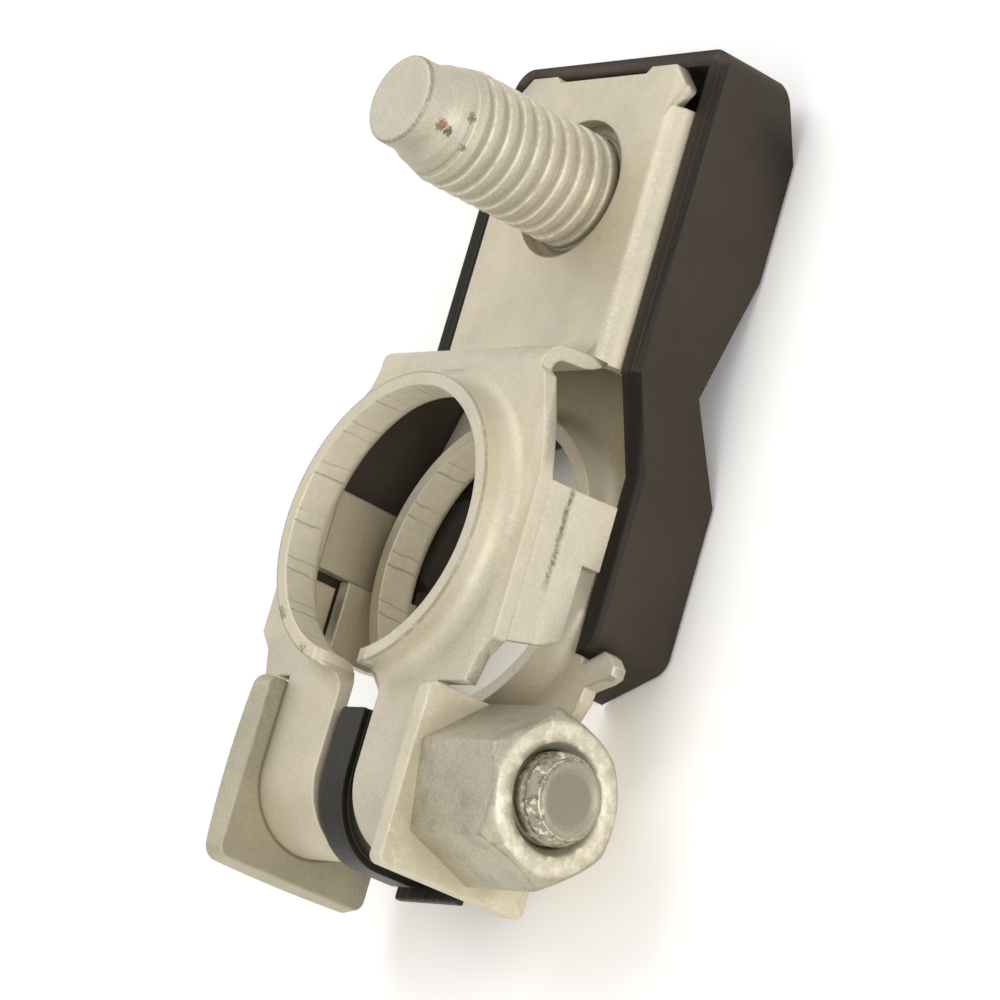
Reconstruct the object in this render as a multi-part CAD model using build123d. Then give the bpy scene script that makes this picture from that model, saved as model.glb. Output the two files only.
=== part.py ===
from build123d import *
import os
from math import cos, radians, sin

# Battery terminal clamp: a folded sheet clamp with a threaded cable stud and an insulating tray.
# Millimetres, +Z up. Pieces are drawn with z = 0 at the underside of the lower plate, on the post's axis,
# and saved with the origin at the middle of the lower collar's wall.
# +Y runs from the post to the cable stud, +X runs along the clamp bolt to its nut.

# ---- sheet metal ----
sheet = 1.0                  # thickness of the strip that the body is folded from
plates_apart = 7.4           # clear height between the lower and the upper plate
bend_r = 1.3                 # outer radius of a folded edge

# ---- battery post and the two drawn collars ----
post_base_d = 19.5           # standard positive post at its foot
post_taper = 9.0             # the post narrows by 1 in this much, on the diameter
post_foot_drop = 0.8         # the foot of the post lies this far below the body
collar_rise = 2.3            # collar above the top of its plate
collar_wall = 0.9            # thinned by drawing
collar_entry_r = 1.2         # rounded entry under the collar
collar_flare_r = 1.2         # flare between plate and collar
collar_steps = 3             # straight steps in each of the two radii

# ---- clamp ears, bolt, washer and nut ----
bolt_y = -16.0               # bolt axis from the post axis
ear_x = 7.8                  # outer face of each ear
neck_gap = 0.35              # from the washer to the shoulder behind it
slit = 4.26                  # gap that the bolt closes
bolt_d = 5.9                 # M6, over the rolled thread
head_side = 12.2             # square head of the clamp bolt
head_offset = 0.5            # the head sits this far off the bolt's axis, away from the post
head_edge = 1.4              # head thickness at its rim
head_crown = 0.7             # bow of its outer face
head_draft = 10              # degrees, the head widens outwards
washer_side = 12.0
washer_thick = 1.2
washer_play = 0.35           # radial, on the bolt
nut_flats = 10.0
nut_length = 7.9
nut_turned = 40.6            # degrees, where the nut stopped
nut_face_d = 9.5             # flat ring left by the corner chamfer
nut_chamfer = 1.1
nut_play = 0.05              # radial running clearance on the bolt
nut_sink_d = 7.2             # countersink round the bolt end
nut_sink = 0.9
bolt_stands = 1.45           # bolt end beyond the nut
bolt_end_d = 4.8

# ---- outlines of the two plates ----
neck_in = 1.7                # rear corners of the upper plate, inside the walls
neck_rise = 1.8              # and how far they run forward from the neck
shoulder_x = 11.05           # the upper plate narrows from here towards the tab
shoulder_y = 7.3
waist_x = 9.6
waist_end_y = 10.6
left_shoulder_x = 9.7        # its left side is cut further in
left_shoulder_y = 8.3
left_waist_x = 8.3
left_waist_y = 10.0
lower_x = 10.4               # right edge of the lower plate
lower_back_y = -3.2
lower_side_y = 6.0
lower_waist_y = 9.5
lower_left_x = 11.0          # left edge of the lower plate
lower_left_y = 7.0
lower_left_back_y = 3.5
lower_neck_x = 8.8
lower_neck_y = 13.0
lower_end_x = 8.3
lower_end_y = 14.6
left_neck_x = 9.4
horn_x = 13.9                # tip of the horn that hooks round the tray's skirt
horn_y = -6.3
horn_wide = 1.9
horn_tip = 0.6
horn_root_x = 10.6

# ---- side walls folded down from the upper plate ----
wall_x = 12.2                # outer face, from the post axis
wall_front_y = 3.7
wall_back_y = -7.2
wall_back_lean = 1.0         # the rear edge leans forward by this much, going down
wall_corner = 0.2            # cut off the corners of the rear edge
wall_crease = 3.0            # below the plate's top, where the wall starts to splay
wall_splay = 0.45            # outward, at the lower edge
wall_deep = 6.2              # depth of the front half of the right wall
wall_shallow = 4.9           # depth of its rear half
wall_step_y = -0.6           # where the depth changes
left_deep = 7.5
left_shallow = 3.9
left_step_y = -1.7
left_slot = 0.9              # relief slot behind the step
left_slot_rise = 1.8         # the slot runs up past the rear half's edge
riser_gap = 0.9              # between the rear half and the riser below it
riser_back_y = -6.9
riser_play = 0.1             # between the riser and the front half

# ---- tab and cable stud ----
tab_drop = 4.86              # tab top below the upper plate's top
tab_half = 8.9               # half width over the flanges
tab_bend_r = 1.5
joggle_top_y = 12.9
joggle_foot_y = 13.3
joggle_bend_r = 1.9
tab_end_y = 34.0
tab_notch = 0.45             # shallow recess in the tab's end
tab_notch_half = 4.5
lug_corner = 1.5             # cut corner of the end lugs
lug_long = 2.7
lug_neck = 0.9               # the lugs' roots stand this far inside their ends
flange_end_y = 31.1
flange_start_y = 13.2
flange_deep = 2.6            # tab's top to the flange's lower edge
stud_y = 25.7
stud_d = 8.0                 # M8
stud_hole_d = 9.7
stud_rise = 15.0             # above the tab
stud_point_d = 6.1           # plain point
stud_point = 1.9
stud_shoulder_d = 7.0
stud_shoulder = 0.7
stud_cone = 2.2
stud_head_flats = 13.0
stud_head = 4.6

# ---- insulating tray ----
tray_wall = 2.0
tray_end_wall = 1.1
tray_floor = 1.6
tray_play = 0.2              # between the tab's flanges and the tray
tray_end_gap = 0.35          # between the tab's end and the tray
tray_rim_drop = 1.3          # rim below the tab's top
tray_corner_r = 1.7
tray_deep = 8.6              # tab's top to the deepest underside
tray_nose = 6.4              # tab's top to the foot of the end wall
tray_nose_run = 5.2          # length of the slope under the end wall
tray_level_y = 22.0          # where the underside starts to rise to the waist
tray_step_y = 18.4           # a bend in that rise
tray_step_deep = 3.15        # below the lower plate
waist_y = 12.9
seat_thick = 1.8             # floor under the lower plate
seat_hole_gap = 0.45         # beyond the lower bore
skirt_x = 12.7               # outer face of the right skirt
skirt_wall = 2.0
skirt_y = 6.4                # where the skirt reaches its full width
skirt_deep = 4.1             # below the lower plate
skirt_rim = 1.8              # above the lower plate's underside
skirt_end_y = -4.6
skirt_slope = 3.0            # the end wall runs back by this much
skirt_slope_x = 7.0          # over this much
skirt_corner_r = 1.4
guard_play = 0.35            # between the left wall's lower edge and the guard outside it
guard_wall = 1.3
guard_rim = 6.6              # above the lower plate's underside
guard_end_y = -5.6
guard_slope_y = 5.5          # from here its rim falls to the tray's
rib_wall = 1.1               # ribs that keep the stud from turning
rib_play = 0.2
rib_long = 7.0
rib_high = 3.4

# ---- spacer between the ears ----
spacer_play = 0.03
spacer_proud = 0.75          # beyond the ears, at their round end
spacer_low = 0.2             # below the ears' top
spacer_front_y = -11.9
spacer_step_x = 0.9          # its outer rim is lower beyond this
spacer_step = 0.5
spacer_foot = 2.4            # how far the foot reaches under the right ear
spacer_foot_y = -22.0
spacer_foot_long = 3.0
spacer_foot_thick = 0.7

# ---- derived places ----
upper_z = sheet + plates_apart                   # underside of the upper plate
top_z = upper_z + sheet
bolt_z = top_z / 2
loop_r = top_z / 2                               # outside of the folded ears
join_y = -12.6                                   # where the ears leave the plates, clear of the flares
left_corner_x = tab_half - 1.0
joggle_start_y = joggle_top_y - joggle_bend_r    # where the plate starts to bend down
tab_z = top_z - tab_drop
slit_half = slit / 2
neck_y = bolt_y + washer_side / 2 - washer_play + neck_gap   # where the ears widen into the plates
guard_x = wall_x + wall_splay + guard_play + guard_wall      # outer face of the guard
washer_x = ear_x
nut_x = washer_x + washer_thick
nut_end_x = nut_x + nut_length
bolt_end_x = nut_end_x + bolt_stands
tray_x = tab_half + tray_play + tray_wall
tray_end_y = tab_end_y + tray_end_gap + tray_end_wall
rim_z = tab_z - tray_rim_drop
tray_low_z = tab_z - tray_deep
grip_z = (collar_entry_r + sheet + collar_rise) / 2          # middle of the lower collar's wall
beyond = 60.0                                    # longer than any cut needs to be


def collar_r(z):
    """Radius of a collar's wall, from the tapered post at the wall's middle."""
    return post_base_d / 2 - (z + grip_z + post_foot_drop) / (2 * post_taper)


def across(outline, low, high):
    """Push a (y, z) outline through a span of x."""
    return extrude(Plane.YZ.offset(low) * outline, amount=high - low, dir=(1, 0, 0))


def along(outline, low, high):
    """Push an (x, z) outline through a span of y."""
    return extrude(Plane.XZ.offset(-low) * outline, amount=high - low, dir=(0, 1, 0))


def upright(outline, low, high):
    """Push an (x, y) outline through a span of z."""
    return extrude(Plane.XY.offset(low) * outline, amount=high - low, dir=(0, 0, 1))


def area(*points):
    """A closed outline with straight sides."""
    return Polygon(*points, align=None)


def block(x0, x1, y0, y1, z0, z1):
    return Pos(x0, y0, z0) * Box(x1 - x0, y1 - y0, z1 - z0, align=(Align.MIN,) * 3)


def strip(points, radius):
    """Section of the folded sheet: its outer line, and the sheet to the right of it."""
    line = FilletPolyline(*points, radius=radius)
    return make_face(offset(line, amount=sheet, side=Side.RIGHT).edges())


def mirrored(points):
    """Right-hand outline points, followed by their mirror images."""
    return list(points) + [(-x, y) for x, y in reversed(points)]


# ---- clamp body: one folded sheet ----

def flare_r(z):
    """Where the collar's flare meets its plate."""
    return collar_r(z) + collar_wall + collar_flare_r


def collar(z):
    """A collar drawn up out of a plate whose underside is at z, with the plate's own edge."""
    face_z = z + sheet
    rim = face_z + collar_rise
    root = face_z + collar_flare_r
    entry = z + collar_entry_r
    inner = collar_r(z)
    outer = inner + collar_wall
    lip = inner + collar_entry_r
    flare = flare_r(z)
    turns = [radians(90 * step / collar_steps) for step in range(collar_steps + 1)]
    flare_line = [
        (flare - collar_flare_r * cos(turn), root - collar_flare_r * sin(turn)) for turn in turns
    ]
    entry_line = [
        (lip - collar_entry_r * sin(turn), entry - collar_entry_r * cos(turn)) for turn in turns
    ]
    section = area((inner, rim), (outer, rim), *flare_line, (flare, z), *entry_line)
    return revolve(Plane.XZ * section, Axis.Z)


def ring_plate(outline, z):
    """A flat plate with its collar, trimmed to the outline."""
    plate = upright(outline, z, z + sheet) - Pos(0, 0, z) * Cylinder(flare_r(z), 4 * sheet)
    return (plate + collar(z)) & upright(outline, z - sheet, z + sheet + collar_rise + sheet)


def upper_outline():
    """The left rear corner is cut further in than the right one."""
    front_y = joggle_start_y + wall_corner / 2
    neck_x = wall_x - neck_in
    ear = [(ear_x, join_y), (ear_x, neck_y), (neck_x, neck_y), (neck_x + neck_in / 3, neck_y + neck_rise)]
    side = [(wall_x - wall_corner, wall_back_y), (wall_x, wall_back_y + wall_corner), (wall_x, wall_front_y)]
    right = ear + side + [(shoulder_x, shoulder_y), (waist_x, waist_end_y), (tab_half, front_y)]
    left = [
        (-left_corner_x, front_y), (-left_waist_x, left_waist_y), (-left_shoulder_x, left_shoulder_y),
    ]
    return area(*(right + left + [(-x, y) for x, y in reversed(ear + side)]))


def lower_outline():
    """The right side carries a horn that hooks round the end of the tray's skirt."""
    neck = [
        (ear_x, join_y), (ear_x, neck_y), (wall_x - neck_in * 0.8, neck_y + neck_rise * 0.2),
        (wall_x - horn_tip * 1.2, neck_y + neck_rise * 0.9), (wall_x - horn_tip, horn_y - horn_wide * 0.63),
    ]
    horn = [
        (horn_x - horn_tip, horn_y - horn_wide * 0.34), (horn_x, horn_y - horn_tip / 2),
        (horn_x, horn_y + horn_tip / 2), (horn_x - horn_tip * 1.2, horn_y + horn_wide * 0.53),
        (horn_x - horn_tip * 2.2, horn_y + horn_wide * 0.66), (horn_root_x, horn_y + horn_wide * 0.18),
    ]
    right = [
        (lower_x, lower_back_y), (lower_x, lower_side_y), (waist_x, lower_waist_y),
        (lower_neck_x, lower_neck_y), (lower_end_x, lower_end_y),
    ]
    left = [
        (-lower_end_x, lower_end_y), (-lower_neck_x, lower_neck_y), (-lower_left_x, lower_left_y),
        (-lower_left_x, lower_left_back_y), (-wall_x + bend_r, left_step_y),
        (-wall_x + bend_r, riser_back_y), (-left_neck_x, neck_y + neck_rise * 0.94),
        (-left_neck_x + neck_rise / 2, neck_y), (-ear_x, neck_y), (-ear_x, join_y),
    ]
    return area(*(neck + horn + right + left))


def side_wall(deep):
    """Section of a side wall, folded down and splayed below its crease."""
    points = [
        (wall_x - 2 * bend_r, top_z), (wall_x, top_z), (wall_x, top_z - wall_crease),
        (wall_x + wall_splay, top_z - deep),
    ]
    return along(strip(points, bend_r), wall_back_y, wall_front_y)


def behind(step_y, shallow):
    """What is cut away below the shallow rear half of a side wall, and behind its leaning edge."""
    edge_z = top_z - shallow
    lean_y = wall_back_y + wall_back_lean
    points = [
        (step_y, -beyond), (step_y, edge_z), (lean_y + 0.6, edge_z), (lean_y, edge_z + 0.6),
        (wall_back_y, top_z), (wall_back_y, beyond), (-beyond, beyond), (-beyond, -beyond),
    ]
    return across(area(*points), ear_x + sheet, beyond)


def right_wall():
    return side_wall(wall_deep) - behind(wall_step_y, wall_shallow)


def left_wall():
    """The left wall, with a relief slot behind its deep front half."""
    wall = side_wall(left_deep) - behind(left_step_y, left_shallow)
    slot_top = top_z - left_shallow + left_slot_rise
    wall -= block(ear_x, wall_x + 2, left_step_y - left_slot, left_step_y, 0, slot_top)
    return mirror(wall, Plane.YZ)


def riser():
    """The lower plate's left edge, folded up to close the side below the rear half of the wall."""
    top = top_z - left_shallow - riser_gap
    points = [(-wall_x, top), (-wall_x, 0), (-wall_x + 2 * bend_r, 0)]
    line = FilletPolyline(*points, radius=bend_r)
    section = make_face(offset(line, amount=sheet, side=Side.LEFT).edges())
    return along(section, riser_back_y, left_step_y - riser_play)


def ear():
    """One ear: the sheet folded round the bolt, from the upper plate back to the lower one."""
    root_y = join_y + 0.1
    def wrap(r):
        height = 2 * r
        flat = Pos(bolt_y, bolt_z) * Rectangle(root_y - bolt_y, height, align=(Align.MIN, Align.CENTER))
        return flat + Pos(bolt_y, bolt_z) * Circle(r)
    loop = across(wrap(loop_r) - wrap(loop_r - sheet), slit_half, ear_x)
    return loop - block(0, beyond, root_y, beyond, -beyond, beyond)


def tab():
    """The tab: a joggle down from the upper plate, flanged edges, end lugs and the stud hole."""
    line = [
        (joggle_start_y, top_z), (joggle_top_y, top_z), (joggle_foot_y, tab_z), (flange_end_y, tab_z),
    ]
    section = strip(line, joggle_bend_r)
    joggle = across(section, -tab_half, tab_half)
    joggle -= block(-beyond, beyond, flange_start_y, beyond, -beyond, beyond)
    corner = area((-beyond, 0), (-left_corner_x, 0), (-left_corner_x, joggle_start_y + sheet / 2),
                  (-tab_half, joggle_foot_y), (-beyond, joggle_foot_y))
    joggle -= upright(corner, -beyond, beyond)
    flat = across(section, -tab_half + tab_bend_r, tab_half - tab_bend_r)
    channel = [
        (-tab_half, tab_z - flange_deep), (-tab_half, tab_z), (tab_half, tab_z),
        (tab_half, tab_z - flange_deep),
    ]
    flanges = along(strip(channel, tab_bend_r), flange_start_y, flange_end_y)
    flanges -= block(-tab_half + tab_bend_r, tab_half - tab_bend_r, 0, beyond, -beyond, beyond)
    lug_y = tab_end_y - lug_long
    lugs = [
        (tab_half - tab_bend_r, flange_end_y - sheet), (tab_half - lug_neck, lug_y),
        (tab_half, lug_y + lug_neck),
        (tab_half, tab_end_y - lug_corner), (tab_half - lug_corner, tab_end_y),
        (tab_notch_half + tab_notch, tab_end_y), (tab_notch_half, tab_end_y - tab_notch),
    ]
    end = upright(area(*mirrored(lugs)), tab_z - sheet, tab_z)
    hole = Pos(0, stud_y, tab_z) * Cylinder(stud_hole_d / 2, 4 * sheet)
    return joggle + flat + flanges + end - hole


def clamp_body():
    body = ring_plate(upper_outline(), upper_z) + ring_plate(lower_outline(), 0)
    body += right_wall() + left_wall() + riser()
    body += ear() + mirror(ear(), Plane.YZ)
    body += tab()
    return body - block(-slit_half, slit_half, -beyond, -collar_r(0) / 2, -beyond, beyond)


# ---- turned and headed pieces ----

def stud():
    """The cable stud: hex head under the tab, shank through it, stepped plain point."""
    tip = tab_z + stud_rise
    profile = [
        (0, tab_z - sheet), (stud_d / 2, tab_z - sheet),
        (stud_d / 2, tip - stud_point - stud_shoulder - stud_cone),
        (stud_shoulder_d / 2, tip - stud_point - stud_shoulder),
        (stud_point_d / 2 - 0.05, tip - stud_point), (stud_point_d / 2, tip - 0.4),
        (stud_point_d / 2 - 0.3, tip), (0, tip),
    ]
    shank = revolve(Plane.XZ * area(*profile), Axis.Z)
    blank = Rot(0, 0, 30) * RegularPolygon(stud_head_flats / 2, 6, major_radius=False)
    head = upright(blank, tab_z - sheet - stud_head, tab_z - sheet)
    corner = Pos(0, 0, tab_z - sheet - stud_head / 2)
    head &= corner * chamfer(Cylinder(stud_head_flats * 0.57, stud_head).edges().group_by(Axis.Z)[0], 0.9)
    return Pos(0, stud_y, 0) * (shank + head)


def on_bolt(solid):
    """Turn a piece built along +Z onto the clamp bolt's axis, along +X."""
    return Pos(0, bolt_y, bolt_z) * Rot(0, 90, 0) * solid


def clamp_bolt():
    """Square head with a bowed face, and a plain shank with a chamfered, dimpled end."""
    thick = head_edge + head_crown
    crown_r = (head_side ** 2 / 2 + head_crown ** 2) / (2 * head_crown)
    head = extrude(RectangleRounded(head_side, head_side, 0.8), amount=thick, taper=-head_draft)
    head &= Pos(0, 0, thick - crown_r) * Sphere(crown_r)
    head = Pos(0, -head_offset, -ear_x) * mirror(head, Plane.XY)
    taper = (bolt_d - bolt_end_d) / 2
    profile = [
        (0, -ear_x - 0.1), (bolt_d / 2, -ear_x - 0.1), (bolt_d / 2, bolt_end_x - taper * 1.6),
        (bolt_end_d / 2, bolt_end_x), (bolt_end_d / 4, bolt_end_x), (0, bolt_end_x - 0.4),
    ]
    return on_bolt(head + revolve(Plane.XZ * area(*profile), Axis.Z))


def square_washer():
    plate = Box(washer_side, washer_side, washer_thick, align=(Align.CENTER, Align.CENTER, Align.MIN))
    plate = Pos(0, -washer_play, 0) * fillet(plate.edges().filter_by(Axis.Z), 0.6)
    hole = Cylinder(bolt_d / 2 + washer_play, 4 * washer_thick)
    return on_bolt(Pos(0, 0, washer_x) * (plate - hole))


def clamp_nut():
    """Hex nut, corners chamfered at its outer end, countersunk round the bolt."""
    blank = Rot(0, 0, nut_turned) * RegularPolygon(nut_flats / 2, 6, major_radius=False)
    nut = upright(blank, nut_x, nut_end_x)
    corner_r = nut_flats / 2 / cos(radians(30))
    cone_rise = nut_chamfer * (corner_r + 0.5 - nut_face_d / 2) / (corner_r - nut_face_d / 2)
    turned = [
        (0, nut_x), (corner_r + 0.5, nut_x), (corner_r + 0.5, nut_end_x - cone_rise),
        (nut_face_d / 2, nut_end_x), (0, nut_end_x),
    ]
    nut &= revolve(Plane.XZ * area(*turned), Axis.Z)
    bore = bolt_d / 2 + nut_play
    hollow = [
        (0, nut_x - 1), (bore, nut_x - 1), (bore, nut_end_x - nut_sink), (nut_sink_d / 2, nut_end_x),
        (nut_sink_d / 2, nut_end_x + 1), (0, nut_end_x + 1),
    ]
    return on_bolt(nut - revolve(Plane.XZ * area(*hollow), Axis.Z))


# ---- moulded pieces ----

def tray_underside():
    """Outer side line of the tray, from the end wall to the waist."""
    return [
        (tray_end_y, rim_z), (tray_end_y - 0.3, tab_z - tray_nose),
        (tray_end_y - tray_nose_run, tray_low_z), (tray_level_y, tray_low_z),
        (tray_step_y, -tray_step_deep), (waist_y, -seat_thick),
    ]


def tray_box():
    """The deep tray under the tab, open at the top."""
    outer = tray_underside() + [(waist_y, rim_z)]
    box = across(area(*outer), -tray_x, tray_x)
    plan = area(*mirrored([(tray_x, 0), (tray_x, tray_end_y)]))
    plan = fillet(plan.vertices().group_by(Axis.Y)[-1], tray_corner_r)
    box &= upright(plan, -beyond, beyond)
    inner_end = tab_end_y + tray_end_gap
    inner = [
        (inner_end, beyond), (inner_end, tab_z - tray_nose + 0.9),
        (inner_end - tray_nose_run + 1.2, tray_low_z + tray_floor),
        (tray_level_y + 0.2, tray_low_z + tray_floor), (tray_step_y, tray_floor - tray_step_deep),
        (waist_y + 0.6, 0), (0, 0), (0, beyond),
    ]
    hollow = across(area(*inner), -tray_x + tray_wall, tray_x - tray_wall)
    return box - hollow


def stud_ribs():
    """Two ribs on the tray's floor that hold the flats of the stud's head."""
    x = stud_head_flats / 2 + rib_play
    low = tray_low_z + tray_floor - 0.2
    rib = block(x, x + rib_wall, stud_y - rib_long / 2, stud_y + rib_long / 2, low, low + rib_high)
    return rib + mirror(rib, Plane.YZ)


def seat_plan():
    """Outline of the moulding under and round the rings."""
    end_x = skirt_x - skirt_slope_x
    end_y = skirt_end_y - skirt_slope
    right = [(end_x, end_y), (skirt_x, skirt_end_y), (skirt_x, skirt_y), (tray_x, waist_y + 0.3)]
    left = [(-tray_x, waist_y + 0.3), (-guard_x, guard_slope_y), (-guard_x, guard_end_y), (-end_x, end_y)]
    plan = area(*(right + left))
    return fillet(plan.vertices().group_by(Axis.X)[-1].group_by(Axis.Y)[0], skirt_corner_r)


def edge_wall(side, inset, x0, x1):
    """What rises from the edge of the seat: a side outline, less the room inside it."""
    wall = across(area(*side), x0, x1) & upright(seat_plan(), -beyond, beyond)
    return wall - upright(area(*inset), 0, beyond)


def seat():
    """Floor under the lower plate, with the skirt on the right and the guard on the left."""
    back_y = waist_y + 0.3
    inner_x = tray_x - tray_wall
    skirt_side = [
        (back_y, rim_z), (skirt_y, skirt_rim), (-beyond, skirt_rim), (-beyond, -skirt_deep),
        (skirt_y, -skirt_deep), (back_y, -seat_thick),
    ]
    skirt_room = [
        (0, -beyond), (skirt_x - skirt_wall, -beyond), (skirt_x - skirt_wall, skirt_y),
        (inner_x, back_y), (0, back_y),
    ]
    guard_side = [
        (back_y, rim_z), (guard_slope_y, guard_rim), (-beyond, guard_rim), (-beyond, -seat_thick),
        (back_y, -seat_thick),
    ]
    guard_room = [
        (0, -beyond), (-guard_x + guard_wall, -beyond), (-guard_x + guard_wall, guard_slope_y - 0.5),
        (-inner_x, back_y), (0, back_y),
    ]
    body = upright(seat_plan(), -seat_thick, 0)
    body += edge_wall(skirt_side, skirt_room, skirt_slope_x, beyond)
    body += edge_wall(guard_side, guard_room, -beyond, -skirt_slope_x)
    return body - Cylinder(collar_r(0) + seat_hole_gap, 2 * beyond)


def insulating_tray():
    return tray_box() + stud_ribs() + seat()


def ear_spacer():
    """Block between the ears: rounded with them, proud at their end, with a foot to the right."""
    half = slit_half - spacer_play
    proud_y = bolt_y - loop_r - spacer_proud
    top = top_z - spacer_low
    def outline(cut):
        r = loop_r - spacer_low - cut
        round_end = Pos(bolt_y, bolt_z) * Circle(r)
        front = Pos(bolt_y, bolt_z) * Rectangle(spacer_front_y - bolt_y, 2 * r, align=(Align.MIN, Align.CENTER))
        belly = area((bolt_y, bolt_z + r), (bolt_y, 0.4), (proud_y + cut, 0.4), (proud_y + cut, bolt_z))
        belly_top = area((bolt_y, bolt_z + r), (proud_y + cut, bolt_z), (bolt_y - r * 0.77, bolt_z + r * 0.7))
        return round_end + front + belly + belly_top
    body = across(outline(0), -half, spacer_step_x) + across(outline(spacer_step), spacer_step_x, half)
    foot = block(-half, half + spacer_foot, spacer_foot_y, spacer_foot_y + spacer_foot_long,
                 0, spacer_foot_thick)
    return body + foot - on_bolt(Cylinder(bolt_d / 2 + washer_play, beyond))


os.makedirs("parts", exist_ok=True)
pieces = {
    "clamp_body": clamp_body,
    "cable_stud": stud,
    "clamp_bolt": clamp_bolt,
    "square_washer": square_washer,
    "clamp_nut": clamp_nut,
    "insulating_tray": insulating_tray,
    "ear_spacer": ear_spacer,
}
for name, build in pieces.items():
    export_step(Pos(0, 0, -grip_z) * build(), f"parts/{name}.step")
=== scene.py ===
import bmesh
import bpy
import math
from mathutils import Matrix, Vector


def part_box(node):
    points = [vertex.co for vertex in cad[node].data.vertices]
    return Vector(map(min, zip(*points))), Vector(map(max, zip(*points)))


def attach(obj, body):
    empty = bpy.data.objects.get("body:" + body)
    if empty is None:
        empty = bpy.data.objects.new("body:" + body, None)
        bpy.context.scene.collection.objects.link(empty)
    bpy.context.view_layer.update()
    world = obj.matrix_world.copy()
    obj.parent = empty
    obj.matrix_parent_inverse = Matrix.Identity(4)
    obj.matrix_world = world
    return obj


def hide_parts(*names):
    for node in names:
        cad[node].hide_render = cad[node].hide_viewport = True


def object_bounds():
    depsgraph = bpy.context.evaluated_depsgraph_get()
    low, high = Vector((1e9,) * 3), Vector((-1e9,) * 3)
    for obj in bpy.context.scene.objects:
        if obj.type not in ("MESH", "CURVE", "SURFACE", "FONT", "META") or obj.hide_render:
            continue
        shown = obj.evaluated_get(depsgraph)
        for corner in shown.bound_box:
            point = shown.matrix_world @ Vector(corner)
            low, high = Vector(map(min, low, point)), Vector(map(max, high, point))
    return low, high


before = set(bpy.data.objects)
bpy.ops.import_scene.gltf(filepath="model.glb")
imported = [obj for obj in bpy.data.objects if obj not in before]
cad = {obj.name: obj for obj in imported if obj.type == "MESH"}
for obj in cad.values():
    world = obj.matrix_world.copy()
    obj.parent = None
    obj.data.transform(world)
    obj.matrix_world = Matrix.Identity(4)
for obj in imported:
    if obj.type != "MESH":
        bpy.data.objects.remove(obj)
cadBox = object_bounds()
mm = 0.001
weld = 0.001 * mm
fullTurn = 2 * math.pi
xAxis, zAxis = Vector((1, 0, 0)), Vector((0, 0, 1))
print("frame loaded:", ", ".join(sorted(cad)))


class Wire:
    # one output socket; arithmetic on it becomes Math nodes
    def __init__(self, nodes, socket):
        self.nodes, self.socket = nodes, socket

    def maths(self, operation, first, second):
        return self.nodes.add("ShaderNodeMath", {"operation": operation}, {0: first, 1: second})

    def __add__(self, other):
        return self.maths("ADD", self, other)

    def __radd__(self, other):
        return self.maths("ADD", other, self)

    def __sub__(self, other):
        return self.maths("SUBTRACT", self, other)

    def __rsub__(self, other):
        return self.maths("SUBTRACT", other, self)

    def __mul__(self, other):
        return self.maths("MULTIPLY", self, other)

    def __rmul__(self, other):
        return self.maths("MULTIPLY", other, self)

    def __pow__(self, other):
        return self.maths("POWER", self, other)

    def __rpow__(self, other):
        return self.maths("POWER", other, self)

    def __abs__(self):
        return self.maths("ABSOLUTE", self, 0.0)


class Nodes:
    # a node tree being filled
    def __init__(self, tree):
        self.tree = tree

    def add(self, kind, settings, values, out=0):
        # settings first, then a value or a link for each socket named
        node = self.tree.nodes.new(kind)
        for key, value in settings.items():
            setattr(node, key, value)
        for key, value in values.items():
            if isinstance(value, Wire):
                self.tree.links.new(value.socket, node.inputs[key])
            else:
                node.inputs[key].default_value = value
        return Wire(self, node.outputs[out]) if node.outputs else None


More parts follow.
